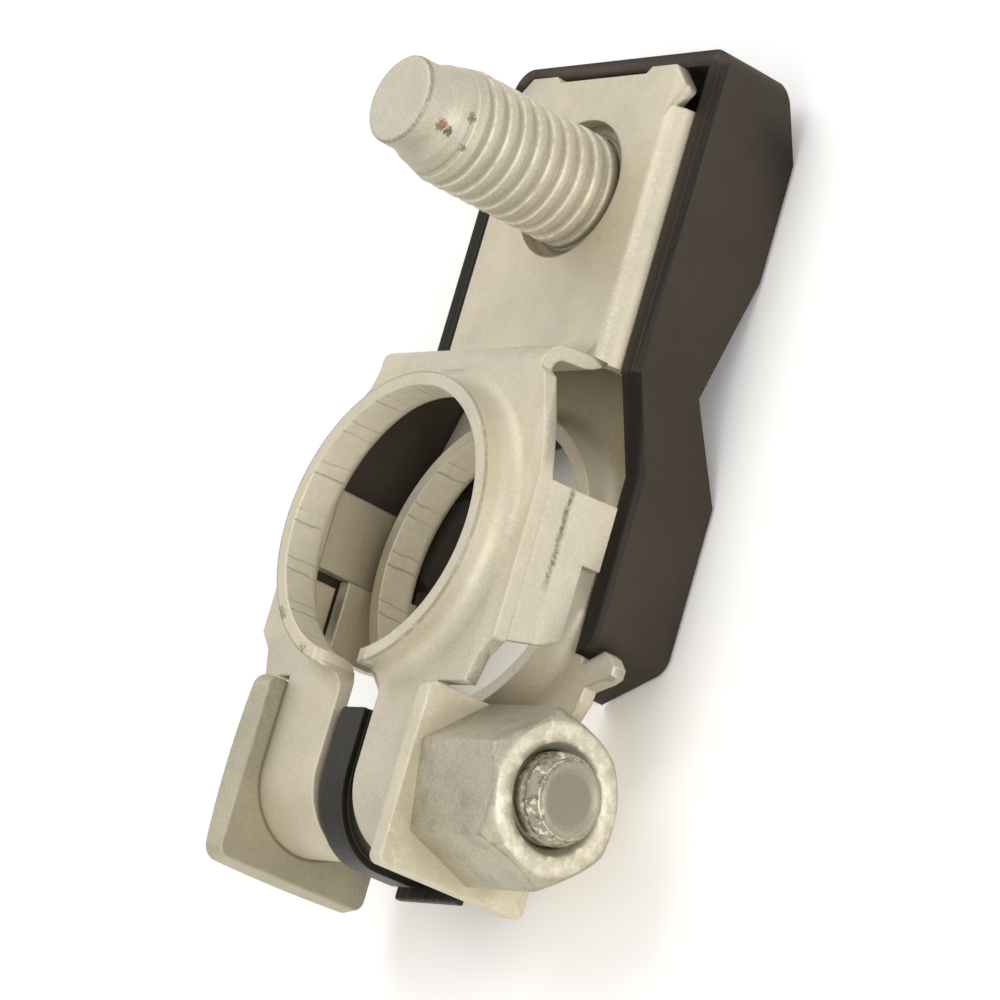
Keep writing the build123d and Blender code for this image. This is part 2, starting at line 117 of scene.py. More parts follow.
class Finish(Nodes):
    # a material round its Principled shader; x, y and z are the place on the part in millimetres
    def __init__(self, name, rounding, constants):
        self.material = bpy.data.materials.new(name)
        self.material.use_nodes = True
        super().__init__(self.material.node_tree)
        self.shader = self.tree.nodes["Principled BSDF"]
        for socket, value in constants.items():
            self.shader.inputs[socket].default_value = value
        self.place = self.add("ShaderNodeTexCoord", {}, {}, "Object")
        self.flat = self.add("ShaderNodeNewGeometry", {}, {}, "Normal")
        self.rounded = self.add("ShaderNodeBevel", {"samples": 4}, {"Radius": rounding * mm})
        self.x, self.y, self.z = (self.along(self.place, axis) * (1 / mm) for axis in range(3))

    def along(self, vector, axis):
        return self.add("ShaderNodeSeparateXYZ", {}, {0: vector}, axis)

    def facing(self, axis):
        return self.along(self.flat, axis)

    def noise(self, scale, detail=3.0, roughness=0.55, place=None):
        values = {"Vector": place or self.place, "Scale": scale, "Detail": detail, "Roughness": roughness}
        return self.add("ShaderNodeTexNoise", {}, values)

    def stretched(self, scale):
        return self.add("ShaderNodeMapping", {}, {"Vector": self.place, "Scale": scale})

    def spots(self, scale):
        return self.add("ShaderNodeTexVoronoi", {}, {"Vector": self.place, "Scale": scale}, "Distance")

    def step(self, value, low, high):
        # 0 below low, 1 above high, eased between
        settings = {"interpolation_type": "SMOOTHSTEP"}
        return self.add("ShaderNodeMapRange", settings, {0: value, 1: low, 2: high, 3: 0.0, 4: 1.0})

    def band(self, value, middle, half, soft):
        # 1 within half of the middle, fading out over soft
        return 1.0 - self.step(abs(value - middle), half, half + soft)

    def lower(self, first, second):
        return self.add("ShaderNodeMath", {"operation": "MINIMUM"}, {0: first, 1: second})

    def angle(self, down, along):
        return self.add("ShaderNodeMath", {"operation": "ARCTAN2"}, {0: down, 1: along})

    def cycle(self, value):
        return self.add("ShaderNodeMath", {"operation": "FRACT"}, {0: value})

    def reach(self, across, along):
        # distance from an axis, from the two offsets square to it
        return (across * across + along * along) ** 0.5

    def near(self, point, radius):
        # a ragged blot round a point
        gap = self.add("ShaderNodeVectorMath", {"operation": "DISTANCE"},
                       {0: self.place, 1: [c * mm for c in point]}, "Value") * (1 / mm)
        ragged = (self.noise(4200, 4, 0.7) - 0.5) * (2.4 * radius)
        return 1.0 - self.step(gap + ragged, radius * 0.55, radius * 0.9)

    def worn(self):
        # 1 on edges, where the rounded normal turns away from the face's own
        match = self.add("ShaderNodeVectorMath", {"operation": "DOT_PRODUCT"},
                         {0: self.rounded, 1: self.flat}, "Value")
        return self.step(1.0 - match, 0.01, 0.16)

    def blend(self, factor, first, second):
        return self.add("ShaderNodeMix", {"data_type": "RGBA"}, {0: factor, 6: first, 7: second}, 2)

    def relief(self, height, strength, depth):
        values = {"Strength": strength, "Distance": depth * mm, "Height": height, "Normal": self.rounded}
        return self.add("ShaderNodeBump", {}, values)

    def feed(self, wires):
        for socket, wire in wires.items():
            self.tree.links.new(wire.socket, self.shader.inputs[socket])
        return self.material


def shade(red, green, blue):
    # a colour as a paint chip shows it, made linear
    levels = [level / 255 for level in (red, green, blue)]
    return tuple(c / 12.92 if c <= 0.04045 else ((c + 0.055) / 1.055) ** 2.4 for c in levels) + (1.0,)


def cadCopy(node):
    # a merged copy of a solid's triangles
    bm = bmesh.new()
    bm.from_mesh(cad[node].data)
    bmesh.ops.remove_doubles(bm, verts=bm.verts, dist=2 * weld)
    return bm


def roundEdges(bm, width, segments=2, chosen=None):
    # bevels the sharp edges, or only those whose corners are all chosen; width is in the mesh's own unit
    sharp = math.radians(28)
    bmesh.ops.dissolve_limit(bm, angle_limit=math.radians(0.6), verts=bm.verts, edges=bm.edges)
    edges = [e for e in bm.edges if len(e.link_faces) == 2 and e.calc_face_angle(0.0) > sharp]
    if chosen is not None:
        edges = [e for e in edges if all(chosen(v.co) for v in e.verts)]
    bmesh.ops.bevel(bm, geom=edges, offset=width, segments=segments, profile=0.5, affect="EDGES",
                    material=-1, clamp_overlap=False)


def lathe(bm, outline, steps):
    # (radius, height) points in millimetres, turned round the upright axis
    verts = [bm.verts.new((radius * mm, 0.0, height * mm)) for radius, height in outline]
    edges = [bm.edges.new(pair) for pair in zip(verts, verts[1:])]
    bmesh.ops.spin(bm, geom=verts + edges, cent=(0, 0, 0), axis=zAxis, angle=fullTurn,
                   steps=steps, use_merge=True)


def cutAt(bm, place, direction, keepBeyond):
    # slices square to a direction, at a place in millimetres along it, and closes the cut
    everything = bm.verts[:] + bm.edges[:] + bm.faces[:]
    cut = bmesh.ops.bisect_plane(bm, geom=everything, plane_co=direction * (place * mm), plane_no=direction,
                                 clear_inner=keepBeyond, clear_outer=not keepBeyond)
    rim = [g for g in cut["geom_cut"] if isinstance(g, bmesh.types.BMEdge) and g.is_boundary]
    bmesh.ops.edgeloop_fill(bm, edges=rim)


def roundThread(spec):
    # one pitch as (rise, radius), softened by the coating: broad crest, narrow groove
    root, crest = spec["root"], spec["crest"]
    deep = crest - root
    return [(0.0, root), (0.07, root + 0.12 * deep), (0.16, root + 0.6 * deep), (0.26, crest - 0.10 * deep),
            (0.38, crest), (0.70, crest - 0.02 * deep), (0.80, crest - 0.14 * deep),
            (0.89, root + 0.55 * deep), (0.96, root + 0.08 * deep)]


def threadedRod(spec, foot, tip):
    # upright on the z axis: the outline spun up a helix, cut square, tapered, and closed with a turned end
    bm = bmesh.new()
    pitch, steps = spec["pitch"] * mm, spec["steps"]
    top = tip - spec["threadEnd"]
    turns = int((top - foot) / spec["pitch"]) + 3      # spare turns at both ends, cut off below
    outline = [(turn + rise, radius) for turn in range(turns) for rise, radius in roundThread(spec)]
    verts = [bm.verts.new((radius * mm, 0.0, foot * mm + (at - 1.5) * pitch)) for at, radius in outline]
    edges = [bm.edges.new(pair) for pair in zip(verts, verts[1:])]
    bmesh.ops.spin(bm, geom=verts + edges, cent=(0, 0, 0), axis=zAxis, angle=fullTurn,
                   steps=steps, dvec=(0, 0, pitch / steps), use_merge=False)
    bmesh.ops.remove_doubles(bm, verts=bm.verts, dist=pitch * 0.02)
    bmesh.ops.recalc_face_normals(bm, faces=bm.faces)
    cutAt(bm, foot, zAxis, keepBeyond=True)
    cutAt(bm, top, zAxis, keepBeyond=False)
    for vert in bm.verts:
        past = max(0.0, vert.co.z / mm - tip + spec["taperFrom"])
        limit = max(spec["core"], spec["taperRadius"] - past * spec["taperSlope"]) * mm
        reach = math.hypot(vert.co.x, vert.co.y)
        if reach > limit:
            vert.co.x *= limit / reach
            vert.co.y *= limit / reach
    lathe(bm, [(radius, tip - below) for radius, below in spec["end"]], steps)
    bmesh.ops.remove_doubles(bm, verts=bm.verts, dist=weld)
    bmesh.ops.recalc_face_normals(bm, faces=bm.faces)
    return bm


def joinInto(bm, other, place=Matrix()):
    bmesh.ops.transform(other, matrix=place, verts=other.verts)
    spare = bpy.data.meshes.new("spare")
    other.to_mesh(spare)
    other.free()
    bm.from_mesh(spare)
    bpy.data.meshes.remove(spare)


def keep(bm, name, body, node, material):
    # the finished mesh takes the place of its solid and rides with its body
    bmesh.ops.remove_doubles(bm, verts=bm.verts, dist=weld)
    mesh = bpy.data.meshes.new(name)
    bm.to_mesh(mesh)
    bm.free()
    mesh.shade_smooth()
    mesh.set_sharp_from_angle(angle=math.radians(38))
    mesh.materials.append(material)
    piece = bpy.data.objects.new(name, mesh)
    bpy.context.scene.collection.objects.link(piece)
    even = piece.modifiers.new("even normals", "WEIGHTED_NORMAL")
    even.keep_sharp = True
    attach(piece, body)
    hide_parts(node)
    print(name, len(mesh.polygons), "faces")


def middleOf(node):
    # middle of a solid's box, in millimetres
    low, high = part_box(node)
    return (low + high) / 2 / mm


studAxis = middleOf("cable_stud")
boltAxis = middleOf("clamp_nut")

# noise scales per metre, then the bump's strength and its depth in millimetres
plating = {"broad": 90, "middle": 480, "grain": 5200, "pits": 1500, "pitted": 330,
           "relief": 0.30, "depth": 0.06}


def tinFinish(name, look, marks):
    # dull tin over steel: soft clouds, fine grain, scattered pits and bright worn edges
    f = Finish(name, look["rounding"], {"IOR": 1.5})
    broad = f.step(f.noise(plating["broad"], 2), 0.35, 0.68)
    middle = f.step(f.noise(plating["middle"], 4, 0.6), 0.38, 0.72)
    grain = f.noise(plating["grain"], 3, 0.7)
    pits = 1.0 - f.step(f.spots(plating["pits"]), 0.05, 0.22)
    pits = pits * f.step(f.noise(plating["pitted"], 3), 0.54, 0.68)
    worn = f.worn()
    color = f.blend(broad, look["tin"], look["cool"])
    color = f.blend(middle * look["grain"], color, look["stain"])
    color = f.blend(f.step(grain, 0.40, 0.68) * look["speck"], color, look["edge"])
    color = f.blend(pits * 0.25, color, look["stain"])
    color = f.blend(worn * 0.7, color, look["edge"])
    color, dent = marks(f, color, look)
    rough = look["rough"] + (grain - 0.5) * 0.2 + middle * 0.06 - worn * 0.14
    height = grain * 0.6 + middle * 0.3 - pits * 0.6 - dent
    return f.feed({"Base Color": color, "Roughness": rough, "Metallic": look["metal"] + worn * 0.1,
                   "Normal": f.relief(height, plating["relief"], plating["depth"])})


# sheet metal body; a band is (middle, half width, soft edge) and a limit (from, to), in millimetres;
# a chip is (place, radius, depth)
sheet = {"look": {"tin": shade(221, 210, 185), "cool": shade(209, 202, 182), "stain": shade(120, 110, 88),
                  "edge": shade(252, 244, 222), "rough": 0.5, "metal": 0.42, "rounding": 0.22,
                  "grain": 0.08, "speck": 0.24},
         "bore": (9.35, 0.33, 0.06), "scorePace": 2.706, "twinShift": 0.27,
         "rim": (10.06, 0.02, 0.05), "rimAbove": (9.1, 9.3),
         "creaseShade": (4.75, 0.05, 0.30), "creaseShadeAlong": (0.5, 2.6, 1.2), "creaseShadeBeyond": (11.6, 11.9),
         "creaseShadeColor": shade(92, 84, 68),
         "wallBend": (11.1, 0.25, 0.6), "wallBendAbove": (3.6, 6.0),
         "tabBend": (8.0, 0.15, 0.5), "tabBendBeyond": (12.0, 14.0),
         "chips": [((-7.5, -6.7, 9.3), 0.8, 0.6), ((-4.3, -9.1, 8.9), 0.9, 0.7)],
         "chipColor": shade(104, 94, 74),
         "cover": {"score": 0.42, "rim": 0.5, "creaseShade": 0.8},
         "dent": {"score": 0.5, "rim": 0.6, "creaseShade": 0.5, "chips": 0.6}}


def drawnMarks(f, color, look):
    # paired score lines left in the two bores by the drawing punch, whose walls are partly burnished and
    # partly lifted with painted light
    reach = f.reach(f.x, f.y)
    bore = f.band(reach, *sheet["bore"]) * (1.0 - f.step(abs(f.facing(2)), 0.25, 0.6))
    turn = f.angle(f.y, f.x) * sheet["scorePace"] + (f.noise(420, 2) - 0.5) * 0.16
    line = f.band(f.cycle(turn), 0.5, 0.010, 0.022)
    twin = f.band(f.cycle(turn + sheet["twinShift"]), 0.5, 0.008, 0.020)
    scored = bore * (line + twin * 0.8) * f.step(f.noise(240, 2), 0.30, 0.55)
    # bore walls lightened: partly burnish, partly painted light on walls that lie in shade
    boreLightAndBurnish = bore * (0.75 + f.step(f.noise(1600, 3), 0.40, 0.65) * 0.2)
    # where the drawn rim was trimmed
    rim = f.band(reach + f.noise(2400, 3) * 0.16, *sheet["rim"]) * f.step(f.z, *sheet["rimAbove"])
    # partly painted shade in the right wall's crease, partly a dark burnished mark, and chips beside the slit
    creaseShade = f.band(f.z + f.noise(700, 4, 0.7) * 0.8, *sheet["creaseShade"]) * f.step(f.x, *sheet["creaseShadeBeyond"])
    broken = 0.25 + f.step(f.noise(3400, 4, 0.75), 0.38, 0.60) * 0.75
    creaseShade = creaseShade * f.band(f.y, *sheet["creaseShadeAlong"]) * broken
    chips = sum(f.near(point, radius) * depth for point, radius, depth in sheet["chips"])
    # painted highlight along the two bends, speckled like stretched crystals of the plating
    bends = f.band(f.x, *sheet["wallBend"]) * f.step(f.z, *sheet["wallBendAbove"])
    bends = bends + f.band(f.x, *sheet["tabBend"]) * f.step(f.y, *sheet["tabBendBeyond"])
    bendHighlight = bends * (f.step(f.noise(4200, 4, 0.8), 0.48, 0.66) * 0.5 + 0.1)
    cover, dent = sheet["cover"], sheet["dent"]
    color = f.blend(bendHighlight, color, look["edge"])
    color = f.blend(boreLightAndBurnish, color, look["edge"])
    color = f.blend(scored * cover["score"], color, look["stain"])
    color = f.blend(rim * cover["rim"], color, look["stain"])
    color = f.blend(creaseShade * cover["creaseShade"], color, sheet["creaseShadeColor"])
    color = f.blend(chips, color, sheet["chipColor"])
    return color, scored * dent["score"] + rim * dent["rim"] + creaseShade * dent["creaseShade"] + chips * dent["chips"]


keep(cadCopy("clamp_body"), "sheetBody", "body", "clamp_body",
     tinFinish("tinned sheet", sheet["look"], drawnMarks))

# cable stud; its end is (radius, depth below the tip), and its flank band is in turns of the thread;
# a chip is (place, radius, cover, depth, colour), down to the copper flash and the steel
stud = {"look": {"tin": shade(208, 199, 176), "cool": shade(196, 190, 171), "stain": shade(130, 120, 98),
                 "edge": shade(253, 246, 226), "rough": 0.5, "metal": 0.38, "rounding": 0.12,
                 "grain": 0.12, "speck": 0.24},
        "pitch": 1.25, "crest": 4.0, "root": 3.58, "core": 3.29, "steps": 64,
        "rise": 15.0, "sunk": 1.6, "headBelow": 0.9, "headRounding": 0.35,
        "threadEnd": 2.6, "taperFrom": 4.8, "taperRadius": 4.02, "taperSlope": 0.62 / 2.2,
        "end": [(0.0, 3.8), (3.3, 3.8), (3.46, 3.1), (3.47, 2.7), (3.38, 2.48), (3.22, 2.18), (3.12, 1.88),
                (3.07, 1.5), (3.05, 0.30), (3.0, 0.12), (2.88, 0.02), (2.7, 0.0), (2.2, 0.03), (0.0, 0.05)],
        "shank": (3.45, 3.55), "shankBelow": (13.0, 14.5), "grooveShade": (3.62, 3.86),
        "flankGlint": (0.80, 0.025, 0.05),
        "holeShadeBelow": (1.3, 2.8), "faceAbove": (17.0, 17.15),
        "lip": (2.99, 0.03, 0.07), "lipAbove": (16.9, 17.05),
        "chips": [((2.79, 24.40, 15.45), 0.50, 0.90, 0.8, shade(150, 108, 80)),
                  ((2.85, 24.20, 14.90), 0.42, 0.85, 0.9, shade(74, 68, 58)),
                  ((3.60, 25.50, 13.90), 0.42, 0.75, 0.6, shade(112, 102, 84)),
                  ((3.10, 23.50, 13.60), 0.36, 0.75, 0.6, shade(112, 102, 84))],
        "cover": {"grooveShade": 0.22, "flankGlint": 0.55, "holeShade": 0.65, "face": 0.22, "lip": 0.35},
        "flankGlintDent": -0.3}
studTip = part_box("cable_stud")[1].z / mm
tabTop = studTip - stud["rise"]
studFoot = tabTop - stud["sunk"]


def chippedCoat(f, color, look):
    # painted shade in the grooves, and a painted highlight: a thin bright flank on the tip's side of each
    # crest
    reach = f.reach(f.x - studAxis.x, f.y - studAxis.y)
    turn = f.cycle((f.z - studFoot) * (1 / stud["pitch"]) + 1.5
                   - f.angle(f.y - studAxis.y, f.x - studAxis.x) * (1 / fullTurn))
    shank = f.step(reach, *stud["shank"]) * (1.0 - f.step(f.z, *stud["shankBelow"]))
    # painted highlight on the lit flank of each crest
    flankGlint = shank * f.band(turn, *stud["flankGlint"]) * f.step(f.noise(1300, 3), 0.30, 0.55)
    grooveShade = shank * (1.0 - f.step(reach, *stud["grooveShade"]))
    # painted shade low down in the hole, a painted highlight on the face of the point, and its stained lip
    holeShade = 1.0 - f.step(f.z, *stud["holeShadeBelow"])
    # painted highlight on the upward end face of the point
    face = f.step(f.z, *stud["faceAbove"])
    lip = f.band(reach, *stud["lip"]) * f.step(f.z, *stud["lipAbove"])
    lip = lip * (1.0 + f.step(f.noise(3800, 2), 0.35, 0.6))
    cover, dent = stud["cover"], flankGlint * stud["flankGlintDent"]
    color = f.blend(grooveShade * cover["grooveShade"], color, look["stain"])
    color = f.blend(flankGlint * cover["flankGlint"], color, look["edge"])
    color = f.blend(holeShade * cover["holeShade"], color, look["stain"])
    color = f.blend(face * cover["face"], color, look["edge"])
    color = f.blend(lip * cover["lip"], color, look["stain"])
    for point, radius, covered, depth, below in stud["chips"]:
        chip = f.near(point, radius)
        color = f.blend(chip * covered, color, below)
        dent = dent + chip * depth
    return color, dent


def makeStud():
    bm = cadCopy("cable_stud")
    cutAt(bm, tabTop - stud["headBelow"], zAxis, keepBeyond=False)      # the head and the shank's foot stay
    roundEdges(bm, stud["headRounding"] * mm)
    place = Matrix.Translation((studAxis.x * mm, studAxis.y * mm, 0))
    joinInto(bm, threadedRod(stud, studFoot, studTip), place)
    return bm


keep(makeStud(), "threadedStud", "body", "cable_stud",
     tinFinish("plated stud", stud["look"], chippedCoat))

# clamp bolt; plain up to the middle, then threaded, with its end rolled over and dimpled
# the bolt's tin is set darker than the other parts': painted shade, for the head's inner face that lies
# behind the ears
bolt = {"look": {"tin": shade(176, 168, 144), "cool": shade(160, 155, 136), "stain": shade(96, 88, 70),
                 "edge": shade(250, 240, 214), "rough": 0.46, "metal": 0.5, "rounding": 0.15,
                 "grain": 0.14, "speck": 0.12},
        "pitch": 1.0, "crest": 2.95, "root": 2.5, "core": 2.2, "steps": 48,
        "threadFoot": -1.0, "plainTo": -0.9, "headRounding": 0.14,
        "threadEnd": 0.25, "taperFrom": 1.0, "taperRadius": 2.95, "taperSlope": 0.62,
        "end": [(0.0, 1.3), (2.3, 1.3), (2.42, 0.5), (2.42, 0.16), (2.32, 0.03), (2.14, 0.0), (1.96, 0.05),
                (1.75, 0.22), (1.3, 0.42), (0.7, 0.52), (0.0, 0.55)],
        "endBeyond": (15.8, 16.4), "dimple": (1.5, 2.05), "dimpleBeyond": (17.5, 17.7), "torn": (2.2, 2.5),
        "dimpleColor": shade(128, 124, 107), "headBelow": (-7.7, -7.5), "joint": (4.75, 0.07, 0.16),
        "cover": {"sheared": 0.12, "joint": 0.6, "dimple": 0.55, "torn": 0.65, "bright": 0.8},
        "dent": {"torn": 1.6, "bright": -0.8}}


def fromBolt(f):
    return f.reach(f.y - boltAxis.y, f.z - boltAxis.z)


def rolledEnd(f, color, look):
    # dull dimple in the end, torn crests round it
    reach = fromBolt(f)
    out = f.step(f.x, *bolt["endBeyond"])
    dimple = out * (1.0 - f.step(reach, *bolt["dimple"])) * f.step(f.x, *bolt["dimpleBeyond"])
    crests = out * f.step(reach, *bolt["torn"])
    torn = crests * f.step(f.noise(1400, 3, 0.65), 0.50, 0.60)
    bright = crests * f.step(f.noise(1900, 3, 0.65), 0.56, 0.64)
    # sheared edges of the head, paler than its faces, and painted shade on the head's inner face along the
    # ear's outline
    head = 1.0 - f.step(f.x, *bolt["headBelow"])
    sheared = head * (1.0 - f.step(abs(f.facing(0)), 0.5, 0.9))
    outline = f.reach(f.lower(f.y - boltAxis.y, 0.0), f.z - boltAxis.z)
    joint = head * f.band(outline, *bolt["joint"]) * f.step(f.facing(0), 0.5, 0.9)
    cover, dent = bolt["cover"], bolt["dent"]
    color = f.blend(sheared * cover["sheared"], color, look["edge"])
    color = f.blend(joint * cover["joint"], color, look["stain"])
    color = f.blend(dimple * cover["dimple"], color, bolt["dimpleColor"])
    color = f.blend(torn * cover["torn"], color, look["stain"])
    color = f.blend(bright * cover["bright"], color, look["edge"])
    return color, torn * dent["torn"] + bright * dent["bright"]


def makeBolt():
    bm = cadCopy("clamp_bolt")
    cutAt(bm, bolt["plainTo"], xAxis, keepBeyond=False)      # the head and the plain shank stay
    roundEdges(bm, bolt["headRounding"] * mm)
    place = Matrix.Translation((0, boltAxis.y * mm, boltAxis.z * mm))
    place = place @ Matrix.Rotation(math.radians(90), 4, "Y")
    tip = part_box("clamp_bolt")[1].x / mm
    joinInto(bm, threadedRod(bolt, bolt["threadFoot"], tip), place)
    return bm


keep(makeBolt(), "clampBolt", "body", "clamp_bolt",
     tinFinish("plated bolt", bolt["look"], rolledEnd))

# nut
nut = {"look": {"tin": shade(196, 188, 163), "cool": shade(180, 175, 155), "stain": shade(116, 107, 86),
                "edge": shade(252, 243, 219), "rough": 0.46, "metal": 0.48, "rounding": 0.16,
                "grain": 0.2, "speck": 0.2},
       "endBeyond": (16.5, 16.7), "turningPace": 2.6, "bite": (3.15, 0.06, 0.10), "boreWithin": (3.15, 3.25),
       "cover": {"end": 0.35, "fleck": 0.4, "bite": 0.6, "smear": 0.22, "thread": 0.55},
       "dent": {"turned": 0.3, "fleck": -0.8, "thread": 4.0}}


def nutEnd(f, color, look):
    # bright end ring, rubbed by the socket, with fine turning marks and a dark ring round the bore
    reach = fromBolt(f)
    end = f.step(f.facing(0), 0.80, 0.97) * f.step(f.x, *nut["endBeyond"])
    fleck = f.step(f.noise(1500, 4, 0.7), 0.42, 0.62)
    turned = f.band(f.cycle(reach * nut["turningPace"]), 0.5, 0.05, 0.25)
    bite = end * f.band(reach, *nut["bite"])
    smear = f.step(f.noise(600, 4, 0.65), 0.50, 0.66) * (1.0 - end)
    # painted shade in the grooves of the thread cut in the bore, which also carry its bump
    bore = (1.0 - f.step(reach, *nut["boreWithin"])) * (1.0 - f.step(f.facing(0), 0.3, 0.6))
    lead = f.x * (1 / bolt["pitch"]) + f.angle(f.z - boltAxis.z, f.y - boltAxis.y) * (1 / fullTurn)
    grooveShade = bore * f.band(f.cycle(lead), 0.5, 0.10, 0.28)
    cover, dent = nut["cover"], nut["dent"]
    color = f.blend(end * (fleck * cover["fleck"] + cover["end"]), color, look["edge"])
    color = f.blend(bite * cover["bite"], color, look["stain"])
    color = f.blend(smear * cover["smear"], color, look["stain"])
    color = f.blend(grooveShade * cover["thread"], color, look["stain"])
    return color, end * (turned * dent["turned"] + fleck * dent["fleck"]) + grooveShade * dent["thread"]


keep(cadCopy("clamp_nut"), "hexNut", "nut", "clamp_nut",
     tinFinish("plated nut", nut["look"], nutEnd))

# square washer
washer = {"look": {"tin": shade(238, 226, 198), "cool": shade(222, 213, 188), "stain": shade(138, 126, 100),
                   "edge": shade(254, 246, 222), "rough": 0.46, "metal": 0.32, "rounding": 0.14,
                   "grain": 0.16, "speck": 0.24},
          "cornerRounding": 0.12, "nutShadow": (6.0, 7.4),
          "cover": {"nutShadow": 0.22, "fleck": 0.5}, "dent": 0.2}


def nutShadowOnWasher(f, color, look):
    # painted shadow of the nut round it, and bright flecks away from it as painted highlight towards the
    # corners
    front = f.step(f.facing(0), 0.6, 0.9)
    shadowNearNut = (1.0 - f.step(fromBolt(f) + f.noise(900, 3) * 0.8, *washer["nutShadow"])) * front
    fleck = f.step(f.noise(1500, 4, 0.7), 0.50, 0.66) * front
    color = f.blend(shadowNearNut * washer["cover"]["nutShadow"], color, look["stain"])
    color = f.blend(fleck * (1.0 - shadowNearNut) * washer["cover"]["fleck"], color, look["edge"])
    return color, shadowNearNut * washer["dent"]


def makeWasher():
    bm = cadCopy("square_washer")
    roundEdges(bm, washer["cornerRounding"] * mm)
    return bm


keep(makeWasher(), "squareWasher", "washer", "square_washer",
     tinFinish("plated washer", washer["look"], nutShadowOnWasher))

# noise scales per metre, the drawn lines' one for each axis, and the bump's depth in millimetres
moulding = {"broad": 120, "drawn": (900.0, 260.0, 5200.0), "depth": 0.06}


def mouldedFinish(name, look, marks):
    # dark plastic: soft clouds, fine grain, faint lines drawn along the mould
    f = Finish(name, look["rounding"], {"IOR": 1.5, "Specular IOR Level": look["shine"], "Metallic": 0.0})
    broad = f.step(f.noise(moulding["broad"], 3), 0.36, 0.66)
    grain = f.noise(look["grain"], 3, 0.6)
    drawn = f.noise(1.0, 4, 0.6, f.stretched(moulding["drawn"]))
    worn = f.worn()
    color = f.blend(broad * 0.35 + f.step(drawn, 0.45, 0.75) * 0.12, look["color"], look["pale"])
    color = f.blend(worn * 0.5, color, look["pale"])
    color, dent = marks(f, color)
    rough = look["rough"] + (grain - 0.5) * 0.2 + broad * 0.05 - worn * 0.08
    height = grain * 0.7 + drawn * 0.3 - dent
    return f.feed({"Base Color": color, "Roughness": rough,
                   "Normal": f.relief(height, look["relief"], moulding["depth"])})


# insulating tray
tray = {"look": {"color": shade(60, 52, 43), "pale": shade(80, 71, 60), "rough": 0.62, "shine": 0.3,
                 "rounding": 0.30, "grain": 2600, "relief": 0.3},
        "rimShadeColor": shade(18, 16, 12), "endHighlightColor": shade(98, 82, 66), "endBeyond": (34.2, 34.5),
        "splitLine": (10.15, 0.05, 0.06), "splitBeyond": (12.6, 12.8),
        "cover": {"rim": 0.85, "end": 0.7, "split": 0.6}, "dent": 0.8}


def rimShadeAndLines(f, color):
    # painted shade darkening the rim's upward faces, a painted highlight lightening them across the end wall,
    # and the mould's split line along its middle
    upward = f.step(f.facing(2), 0.5, 0.9)
    end = upward * f.step(f.y, *tray["endBeyond"])
    split = upward * f.band(abs(f.x), *tray["splitLine"]) * f.step(f.y, *tray["splitBeyond"])
    cover = tray["cover"]
    color = f.blend(upward * cover["rim"], color, tray["rimShadeColor"])
    color = f.blend(end * cover["end"], color, tray["endHighlightColor"])
    color = f.blend(split * cover["split"], color, tray["look"]["pale"])
    return color, split * tray["dent"]


keep(cadCopy("insulating_tray"), "insulatingTray", "body", "insulating_tray",
     mouldedFinish("tray moulding", tray["look"], rimShadeAndLines))

# ear spacer: a proud band on the left, a recessed one on the right, and a foot below
spacer = {"look": {"color": shade(30, 27, 20), "pale": shade(52, 46, 36), "rough": 0.42, "shine": 0.35,
                   "rounding": 0.15, "grain": 1800, "relief": 0.25},
          "left": -2.1, "step": 0.9, "right": 2.1, "overlap": 0.2, "recess": 0.5,
          "radius": 4.5, "proud": 5.45, "front": 4.1, "belly": 4.3, "bellyRise": 0.2,
          "corner": [(0.0, 1.3), (0.35, 0.45), (1.2, 0.0)], "hole": 3.35, "round": 0.95,
          "roundSteps": 5, "arcSteps": 14, "holeSides": 40,
          "footLow": (-2.1, -22.0, -2.25), "footHigh": (4.5, -19.0, -1.6), "footRound": 0.2,
          "ridgePace": 1.25, "ridgesBelow": (-0.5, 3.0), "cover": 0.22, "dent": -1.4}


def ridges(f, color):
    # fine mould ridges round the spacer, fainter towards its top
    line = f.band(f.cycle(f.x * spacer["ridgePace"] + 0.25), 0.5, 0.06, 0.22)
    line = line * (1.0 - f.step(f.z, *spacer["ridgesBelow"]) * 0.7)
    return f.blend(line * spacer["cover"], color, spacer["look"]["pale"]), line * spacer["dent"]


def spacerBand(left, right, inset):
    # in millimetres: rounded top, proud belly with a cut corner, straight front, and the bolt's hole
    bm = bmesh.new()
    y, z = boltAxis.y, boltAxis.z
    radius, proud = spacer["radius"] - inset, spacer["proud"] - inset
    top = bm.verts.new((left, y, z + radius))
    bmesh.ops.spin(bm, geom=[top], cent=(0, y, z), axis=xAxis, angle=math.radians(90),
                   steps=spacer["arcSteps"])
    bmesh.ops.scale(bm, vec=(1, proud / radius, 1), space=Matrix.Translation((0, -y, 0)), verts=bm.verts)
    arc = sorted(bm.verts, key=lambda vert: vert.co.z)
    low = z - spacer["belly"] + inset * spacer["bellyRise"]
    below = [(y - proud + across, low + up) for across, up in spacer["corner"]]
    below += [(y + spacer["front"], low), (y + spacer["front"], z + radius)]
    chain = [arc[0]] + [bm.verts.new((left, *point)) for point in below] + [arc[-1]]
    for pair in zip(chain, chain[1:]):
        bm.edges.new(pair)
    hole = bmesh.ops.create_circle(bm, radius=spacer["hole"], segments=spacer["holeSides"])["verts"]
    bmesh.ops.rotate(bm, verts=hole, cent=(0, 0, 0), matrix=Matrix.Rotation(math.radians(90), 3, "Y"))
    bmesh.ops.translate(bm, verts=hole, vec=(left, y, z))
    bmesh.ops.triangle_fill(bm, edges=bm.edges[:], use_beauty=True)
    grown = bmesh.ops.extrude_face_region(bm, geom=bm.faces[:], use_keep_orig=True)["geom"]
    grownVerts = [g for g in grown if isinstance(g, bmesh.types.BMVert)]
    bmesh.ops.translate(bm, verts=grownVerts, vec=(right - left, 0, 0))
    bmesh.ops.recalc_face_normals(bm, faces=bm.faces)
    return bm


